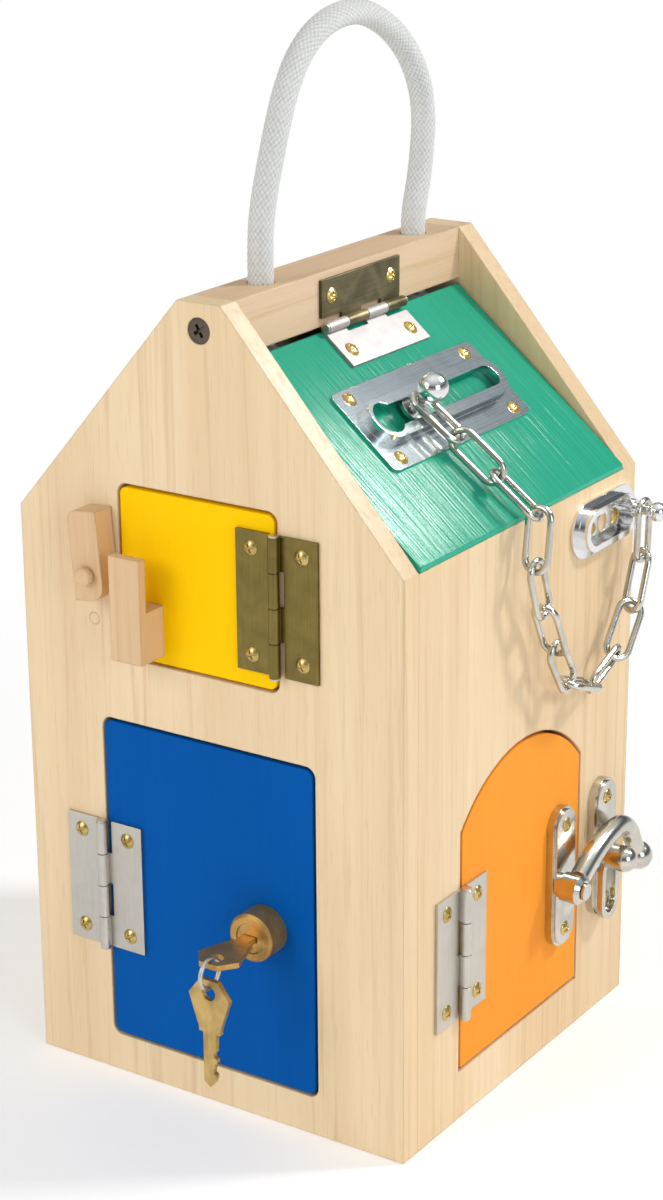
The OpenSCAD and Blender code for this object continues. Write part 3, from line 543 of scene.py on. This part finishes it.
@dataclass
class PartDress:
    """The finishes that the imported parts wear."""

    finishes: dict[Finish, list[str]] = field(default_factory=lambda: {
        WOOD_UPRIGHT: ["front_panel", "back_panel", "right_wall", "left_wall", "front_plug", "door_stops"],
        WOOD_DEEP: ["ridge_beam"],
        WOOD_ACROSS: ["floor_panel", "mid_shelf"],
        WOOD_SLOPE: ["left_roof_panel"],
        WOOD_LATCH: ["latch_keeper", "latch_bar", "latch_peg"],
        YELLOW: ["yellow_door"],
        BLUE: ["blue_door"],
        ORANGE: ["orange_door"],
        GREEN: ["roof_door"],
        NICKEL: [
            "blue_frame_leaf", "blue_door_leaf", "orange_frame_leaf", "orange_door_leaf", "hinge_pins",
            "lock_nut", "lock_cam", "cam_screw", "key_ring",
        ],
        BRONZE: ["yellow_frame_leaf", "yellow_door_leaf"],
        # painted shade on the roof hinge's beam leaf
        RIDGE_LEAF_PAINTED_SHADE: ["roof_beam_leaf"],
        # painted shade: dimmed copy of the satin nickel
        ROOF_NICKEL_PAINTED_SHADE: ["roof_door_leaf"],
        # plating with a painted sky reflection tint
        GUARD_PLATING_SKY_TINT: ["guard_plate"],
        CHROME: ["chain_knob", "chain_bracket", "bracket_stud"],
        PLATED: ["hook_plate", "hook_lever", "jamb_plate", "upper_links", *HANGING_LINKS],
        BRASS: [
            "frame_screws", "yellow_door_screws", "blue_door_screws", "orange_door_screws",
            "roof_door_screws",
        ],
        LOCK_BRASS: ["lock_body", "lock_plug", "lock_key"],
        KEY_BRASS: ["spare_key"],
        DARK_STEEL: ["ridge_screws"],
        COTTON: ["carry_rope", "rope_knots"],
    })

    def dress(self, nodes: dict[str, bpy.types.Object]) -> None:
        """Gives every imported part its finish.

        Args:
            nodes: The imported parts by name.
        """
        for finish, names in self.finishes.items():
            material = finish.material()
            for name in names:
                mesh = nodes[name].data
                mesh.materials.clear()
                mesh.materials.append(material)
                LOG.info("%s wears %s", name, finish.name)


@dataclass
class BraidedRope:
    """The carrying rope: a round braid that rises out of the ridge beam and goes back into it."""

    diameter: float = 0.009
    length: float = 0.268
    strands: int = 16
    strand_rise: float = 0.0096
    relief: float = 0.00030
    sides: int = 96
    step: float = 0.00036
    route_mm: tuple[tuple[float, float], ...] = (
        (-44, 275), (-44, 296), (-44, 307), (-43, 318), (-40, 329), (-36, 340), (-32, 350), (-27, 360),
        (-20, 369), (-10, 376), (3, 380), (18, 380), (32, 375), (43, 368), (52, 359), (58, 348),
        (60, 337), (59, 326), (57, 316), (54, 306), (53, 296), (53, 275),
    )

    def line(self) -> list[Vector]:
        """The rope's smooth middle line, in metres."""
        knots = [Vector((0.0, y * MM, z * MM)) for y, z in self.route_mm]
        return even_steps(smooth_line(knots, False), self.step)

    def build(self, material: bpy.types.Material) -> bpy.types.Object:
        """Makes the rope.

        Args:
            material: The rope's finish.

        Returns:
            The rope's object.
        """
        rope = braided_tube("braided_rope", self.line(), False, self)
        rope.data.materials.append(material)
        return rope


@dataclass
class EndKnot:
    """A stopper knot under the ridge beam, tied in the rope's own end."""

    name: str
    y: float
    diameter: float = 0.0052
    strands: int = 6
    strand_rise: float = 0.0065
    relief: float = 0.0003
    sides: int = 24
    step: float = 0.0007
    corners: int = 36
    centre_z: float = 0.2688
    turn_size: float = 0.00172
    height: float = 0.0031

    def build(self, material: bpy.types.Material) -> bpy.types.Object:
        """Makes the knot.

        Args:
            material: The rope's finish.

        Returns:
            The knot's object.
        """
        points = []
        for i in range(self.corners):
            t = 2.0 * math.pi * i / self.corners
            x = math.sin(t) + 2.0 * math.sin(2.0 * t)
            y = math.cos(t) - 2.0 * math.cos(2.0 * t)
            z = -math.sin(3.0 * t)
            across = x * self.turn_size
            deep = self.y + y * self.turn_size
            points.append(Vector((across, deep, self.centre_z + z * self.height)))
        line = even_steps(smooth_line(points, True), self.step)
        knot = braided_tube(self.name, line, True, self)
        knot.data.materials.append(material)
        return knot


def smooth_line(knots: list[Vector], closed: bool) -> list[Vector]:
    """A fine smooth line through some points.

    Args:
        knots: The points.
        closed: Whether the line comes back to its start.

    Returns:
        Points along the line.
    """
    fine = 24
    count = len(knots)
    line = []
    for i in range(count if closed else count - 1):
        if closed:
            a, b, c, d = (knots[(i + k) % count] for k in (-1, 0, 1, 2))
        else:
            a, b, c, d = (knots[min(max(i + k, 0), count - 1)] for k in (-1, 0, 1, 2))
        for s in range(fine):
            t = s / fine
            line.append(0.5 * (2.0 * b + (c - a) * t + (2.0 * a - 5.0 * b + 4.0 * c - d) * t * t
                               + (3.0 * b - a - 3.0 * c + d) * t * t * t))
    if not closed:
        line.append(knots[-1].copy())
    return line


def even_steps(line: list[Vector], step: float) -> list[Vector]:
    """Walks a line in even steps.

    Args:
        line: Points along the line.
        step: Length of a step, in metres.

    Returns:
        Evenly spaced points, from the first to the last.
    """
    total = sum((b - a).length for a, b in zip(line, line[1:]))
    count = max(2, round(total / step))
    even = total / count
    out = [line[0].copy()]
    walked = 0.0
    for a, b in zip(line, line[1:]):
        gap = (b - a).length
        while len(out) <= count and walked + gap >= even * len(out) - TINY:
            out.append(a.lerp(b, (even * len(out) - walked) / gap if gap else 0.0))
        walked += gap
    out[-1] = line[-1].copy()
    return out


def braid_height(around: float, along: float) -> float:
    """How high a braid's strands stand at a point.

    Args:
        around: Strands counted round the rope.
        along: Strands counted along the rope.

    Returns:
        A height between 0, in the gaps, and 1, on a strand's back.
    """
    dip = 0.55
    a = around + along
    b = around - along
    over = (math.floor(a) + math.floor(b)) % 2 == 0
    across = 2.0 * (a % 1.0) - 1.0 if over else 2.0 * (b % 1.0) - 1.0
    lengthwise = 2.0 * (b % 1.0) - 1.0 if over else 2.0 * (a % 1.0) - 1.0
    return math.sqrt(max(0.0, 1.0 - across * across)) * (1.0 - dip * lengthwise * lengthwise)


def braided_tube(
    name: str, line: list[Vector], closed: bool, braid: BraidedRope | EndKnot
) -> bpy.types.Object:
    """Sweeps a round braid along a line.

    Args:
        name: The piece's name.
        line: The middle line, in even steps.
        closed: Whether the line is a loop.
        braid: The rope's sizes.

    Returns:
        The braid's object, with how sunk each point is kept as an attribute.
    """
    rises_a_turn = 4.0
    sides = braid.sides
    rings = line[:-1] if closed else line
    count = len(rings)
    up = Vector((1.0, 0.0, 0.0))
    points, sunk, faces = [], [], []
    for i, middle in enumerate(rings):
        before = rings[(i - 1) % count] if closed else rings[max(i - 1, 0)]
        after = rings[(i + 1) % count] if closed else rings[min(i + 1, count - 1)]
        way = (after - before).normalized()
        up = (up - way * up.dot(way)).normalized()
        side = way.cross(up)
        along = braid.strands * i * braid.step / (braid.strand_rise * rises_a_turn)
        for s in range(sides):
            turn = 2.0 * math.pi * s / sides
            height = braid_height(braid.strands * s / sides, along)
            reach = braid.diameter / 2.0 - braid.relief * (1.0 - height)
            points.append(middle + (up * math.cos(turn) + side * math.sin(turn)) * reach)
            sunk.append(1.0 - height)
    for i in range(count if closed else count - 1):
        j = (i + 1) % count
        for s in range(sides):
            t = (s + 1) % sides
            faces.append((i * sides + s, i * sides + t, j * sides + t, j * sides + s))
    if not closed:
        faces.append(tuple(reversed(range(sides))))
        faces.append(tuple((count - 1) * sides + s for s in range(sides)))
    mesh = bpy.data.meshes.new(name)
    mesh.from_pydata(points, [], faces)
    mesh.update()
    mesh.shade_smooth()
    # The rope's material turns this attribute into painted shade in the gaps between strands.
    kept = mesh.attributes.new("sunk", "FLOAT", "POINT")
    kept.data.foreach_set("value", sunk)
    piece = bpy.data.objects.new(name, mesh)
    bpy.context.scene.collection.objects.link(piece)
    return piece


@dataclass
class CarryHandle:
    """The rope with its two stopper knots."""

    rope: BraidedRope = field(default_factory=BraidedRope)
    front_knot: EndKnot = field(default_factory=lambda: EndKnot("rope_knot_front", -0.044))
    back_knot: EndKnot = field(default_factory=lambda: EndKnot("rope_knot_back", 0.053))
    path_every: int = 9

    def build(self, material: bpy.types.Material) -> None:
        """Makes the handle, hangs it on the house's body and hides the imported rope and knots.

        Args:
            material: The rope's finish.
        """
        rope = self.rope.build(material)
        knots = [self.front_knot.build(material), self.back_knot.build(material)]
        for piece in (rope, *knots):
            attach(piece, "house")
            LOG.info("built %s", piece.name)
        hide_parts("carry_rope")
        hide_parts("rope_knots")
        [tuple(p) for p in self.rope.line()[::self.path_every]]


@dataclass(frozen=True)
class Lamp:
    """One soft square lamp that faces the house, with metres for its place and size and watts for power."""

    name: str
    place: Triple
    size: float
    power: float
    colour: Colour = WHITE
    gleam_only: bool = False
    aim: Triple = (0.0, 0.0, 0.16)

    def hang(self) -> None:
        """Adds the lamp to the scene."""
        data = bpy.data.lights.new(self.name, "AREA")
        data.shape = "SQUARE"
        data.size = self.size
        data.energy = self.power
        data.color = self.colour
        lamp = bpy.data.objects.new(self.name, data)
        lamp.location = self.place
        way = Vector(self.aim) - Vector(self.place)
        lamp.rotation_euler = way.to_track_quat("-Z", "Y").to_euler()
        bpy.context.scene.collection.objects.link(lamp)
        if self.gleam_only:
            lamp.visible_diffuse = False
            lamp.visible_camera = False


@dataclass
class Studio:
    """The photograph's camera, a pale floor and soft light."""

    azimuth: float = 33.74
    elevation: float = 19.35
    roll: float = -0.45
    distance: float = 0.9898
    target: Triple = (-0.0017, 0.0, 0.1693)
    focal_px: float = 2697.9
    sensor: float = 36.0
    clip: Band = (0.01, 50.0)
    floor_size: float = 6.0
    floor_drop: float = 0.0004
    floor_colour: Colour = (0.90, 0.90, 0.905)
    floor_roughness: float = 0.9
    floor_glow: float = 0.24
    shadow_reach: float = 0.20
    white_from: float = 0.55
    room_light: float = 0.42
    horizon: Colour = (0.50, 0.50, 0.50)
    sky_bands: tuple[tuple[float, Colour], ...] = (
        (0.10, (0.36, 0.36, 0.37)),
        (0.26, (0.10, 0.11, 0.12)),
        (0.40, (0.16, 0.17, 0.18)),
        (0.60, (0.42, 0.45, 0.47)),
    )
    lamps: tuple[Lamp, ...] = (
        Lamp("key_lamp", (0.95, 0.72, 1.35), size=0.24, power=12.5, colour=(1.0, 0.995, 0.985)),
        Lamp("front_lamp", (-0.75, -1.65, 1.05), size=1.1, power=14.5, colour=(1.0, 0.99, 0.975)),
        Lamp("right_lamp", (1.75, -0.75, 0.75), size=0.9, power=9.6, colour=(0.86, 0.93, 1.0)),
        Lamp("sheen_lamp", (0.132, 0.104, 0.395), size=0.07, power=0.92, gleam_only=True),
    )

    def camera(self) -> None:
        """Places the camera at the photograph's viewing angle."""
        a, e, r = (math.radians(v) for v in (self.azimuth, self.elevation, self.roll))
        back = Vector((math.sin(a) * math.cos(e), -math.cos(a) * math.cos(e), math.sin(e)))
        right = (-back).cross(Vector((0.0, 0.0, 1.0))).normalized()
        up = right.cross(-back)
        turned_right = right * math.cos(r) + up * math.sin(r)
        turned_up = up * math.cos(r) - right * math.sin(r)
        data = bpy.data.cameras.new("photo_camera")
        data.sensor_width = self.sensor
        data.lens = self.focal_px * self.sensor / max(IMAGE_SIZE)
        data.clip_start, data.clip_end = self.clip
        camera = bpy.data.objects.new("photo_camera", data)
        axes = Matrix((turned_right, turned_up, back)).transposed().to_4x4()
        camera.matrix_world = Matrix.Translation(Vector(self.target) + back * self.distance) @ axes
        bpy.context.scene.collection.objects.link(camera)
        bpy.context.scene.camera = camera

    def floor(self) -> None:
        """Lays a pale floor that keeps the soft shadow near the house and turns pure white further out."""
        bpy.ops.object.select_all(action="DESELECT")
        bpy.ops.mesh.primitive_plane_add(size=self.floor_size, location=(0.0, 0.0, -self.floor_drop))
        plane = bpy.context.object
        plane.name = "studio_floor"
        shade = Shader("pale_floor")
        shade.put("Base Color", self.floor_colour)
        shade.put("Roughness", self.floor_roughness)
        shade.put("Specular IOR Level", 0.0)
        shade.put("Emission Color", WHITE)
        shade.put("Emission Strength", self.floor_glow)
        far = shade.tree.nodes.new("ShaderNodeVectorMath")
        far.operation = "LENGTH"
        shade.join(shade.place.outputs["Object"], far.inputs[0])
        fade = shade.spread(far.outputs["Value"], (self.shadow_reach, self.white_from))
        white = shade.tree.nodes.new("ShaderNodeEmission")
        blend = shade.tree.nodes.new("ShaderNodeMixShader")
        shade.join(fade, blend.inputs["Fac"])
        shade.join(shade.bsdf.outputs["BSDF"], blend.inputs[1])
        shade.join(white.outputs["Emission"], blend.inputs[2])
        shade.join(blend.outputs["Shader"], shade.tree.nodes["Material Output"].inputs["Surface"])
        plane.data.materials.append(shade.material)

    def surroundings(self) -> None:
        """Makes a white room that metal sees as a sky with a dark band low down, and bright overhead."""
        world = bpy.context.scene.world or bpy.data.worlds.new("white_room")
        bpy.context.scene.world = world
        world.use_nodes = True
        nodes = world.node_tree.nodes
        join = world.node_tree.links.new
        ground = nodes["Background"]
        place = nodes.new("ShaderNodeTexCoord")
        split = nodes.new("ShaderNodeSeparateXYZ")
        join(place.outputs["Generated"], split.inputs["Vector"])
        sky = nodes.new("ShaderNodeValToRGB")
        sky.color_ramp.elements[0].color = (*self.horizon, 1.0)
        sky.color_ramp.elements[1].color = (*WHITE, 1.0)
        for level, colour in self.sky_bands:
            sky.color_ramp.elements.new(level).color = (*colour, 1.0)
        join(split.outputs["Z"], sky.inputs["Fac"])
        path = nodes.new("ShaderNodeLightPath")
        tint = nodes.new("ShaderNodeMix")
        tint.data_type = "RGBA"
        tint.inputs[MIX_FIRST].default_value = (*WHITE, 1.0)
        join(path.outputs["Is Glossy Ray"], tint.inputs["Factor"])
        join(sky.outputs["Color"], tint.inputs[MIX_SECOND])
        join(tint.outputs[MIX_RESULT], ground.inputs["Color"])
        looks = nodes.new("ShaderNodeMath")
        looks.operation = "MAXIMUM"
        join(path.outputs["Is Camera Ray"], looks.inputs[0])
        join(path.outputs["Is Glossy Ray"], looks.inputs[1])
        seen = nodes.new("ShaderNodeMapRange")
        seen.inputs["To Min"].default_value = self.room_light
        seen.inputs["To Max"].default_value = 1.0
        join(looks.outputs[0], seen.inputs["Value"])
        join(seen.outputs["Result"], ground.inputs["Strength"])

    def build(self) -> None:
        """Sets up the camera, floor, surroundings and lamps, one of which only gleams on the roof door."""
        self.camera()
        self.floor()
        self.surroundings()
        for lamp in self.lamps:
            lamp.hang()
        bpy.context.scene.view_settings.view_transform = "Standard"


def main() -> None:
    """Builds the scene in order: studio, rope, then every part's finish."""
    logging.basicConfig(level=logging.INFO, format="%(name)s: %(message)s")
    Studio().build()
    CarryHandle().build(COTTON.material())
    PartDress().dress(frame["nodes"])


if __name__ == "__main__":
    main()
